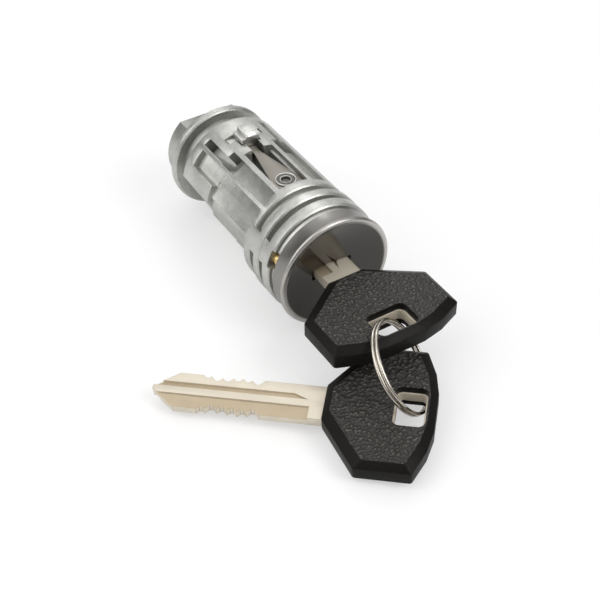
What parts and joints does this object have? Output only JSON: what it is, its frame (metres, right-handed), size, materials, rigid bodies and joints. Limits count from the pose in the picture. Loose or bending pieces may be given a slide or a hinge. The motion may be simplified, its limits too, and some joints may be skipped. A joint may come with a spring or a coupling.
{
  "type": "ignition lock cylinder",
  "caption": "Round slotted lock cylinder with a sprung retaining tab, concave face cap, drive tang, a key in the lock and a spare key on the same split ring.",
  "frame": {"origin": "on the lock's axis, halfway along the front guide land", "axes": "+Y runs back along the lock's axis from the face to the drive tang, +Z points out through the retaining tab, which is up in the picture, and +X is to the right seen from the face"},
  "size_m": [0.0626, 0.11, 0.0298],
  "materials": {
    "zinc": "matte die-cast zinc",
    "plug_zinc": "machined zinc casting",
    "cap_nickel": "brushed rim, polished concave face",
    "spring_steel": "satin spring steel",
    "spring_wire": "drawn wire",
    "rivet_steel": "plated eyelet",
    "pin_steel": "ground steel pin",
    "brass": "plain brass",
    "nickel_silver": "milled nickel silver",
    "head_plastic": "leather grain with smooth bevels",
    "ring_nickel": "nickel-plated wire"
  },
  "bodies": {
    "housing": {"housing": "zinc", "leaf_spring": "spring_steel", "leaf_rivet": "rivet_steel", "detent_spring": "spring_wire"},
    "plug": {"plug": "plug_zinc", "face_cap": "cap_nickel", "drive_coupler": "zinc", "cross_pin": "pin_steel", "wafer_1": "brass", "wafer_2": "brass", "wafer_3": "brass", "wafer_4": "brass", "wafer_5": "brass", "wafer_6": "brass", "wafer_spring_1": "spring_wire", "wafer_spring_2": "spring_wire", "wafer_spring_3": "spring_wire", "wafer_spring_4": "spring_wire", "wafer_spring_5": "spring_wire", "wafer_spring_6": "spring_wire"},
    "retainer": {"retaining_tab": "zinc"},
    "plunger": {"detent_plunger": "brass"},
    "key": {"key_blade": "nickel_silver", "key_head": "head_plastic"},
    "ring": {"split_ring": "ring_nickel"},
    "spare_key": {"spare_key_blade": "nickel_silver", "spare_key_head": "head_plastic"}
  },
  "joints": [
    {"name": "plug_turn", "type": "hinge", "parent": "housing", "child": "plug", "pos_m": [0, 0, 0], "axis": [0, 1, 0], "range_deg": [-30, 80]},
    {"name": "key_slide", "type": "slide", "parent": "plug", "child": "key", "axis": [0, -1, 0], "range_m": [0, 0.038]},
    {"name": "tab_press", "type": "slide", "parent": "housing", "child": "retainer", "axis": [0, 0, -1], "range_m": [0, 0.002], "stiffness_N_per_m": 700, "springref_m": -0.001, "deforming": ["leaf_spring"]},
    {"name": "plunger_press", "type": "slide", "parent": "housing", "child": "plunger", "axis": [0, 1, 0], "range_m": [0, 0.001], "stiffness_N_per_m": 800, "springref_m": -0.001, "deforming": ["detent_spring"]},
    {"name": "ring_turn", "type": "hinge", "parent": "key", "child": "ring", "pos_m": [-0.002, -0.03606, -0.00431], "axis": [0.6383, -0.5141, 0.573], "range_deg": [-40, 20]},
    {"name": "spare_key_swing", "type": "hinge", "parent": "ring", "child": "spare_key", "pos_m": [-0.00574, -0.04475, -0.00897], "axis": [-0.1021, -0.0595, 0.993], "range_deg": [-15, 5]}
  ]
}
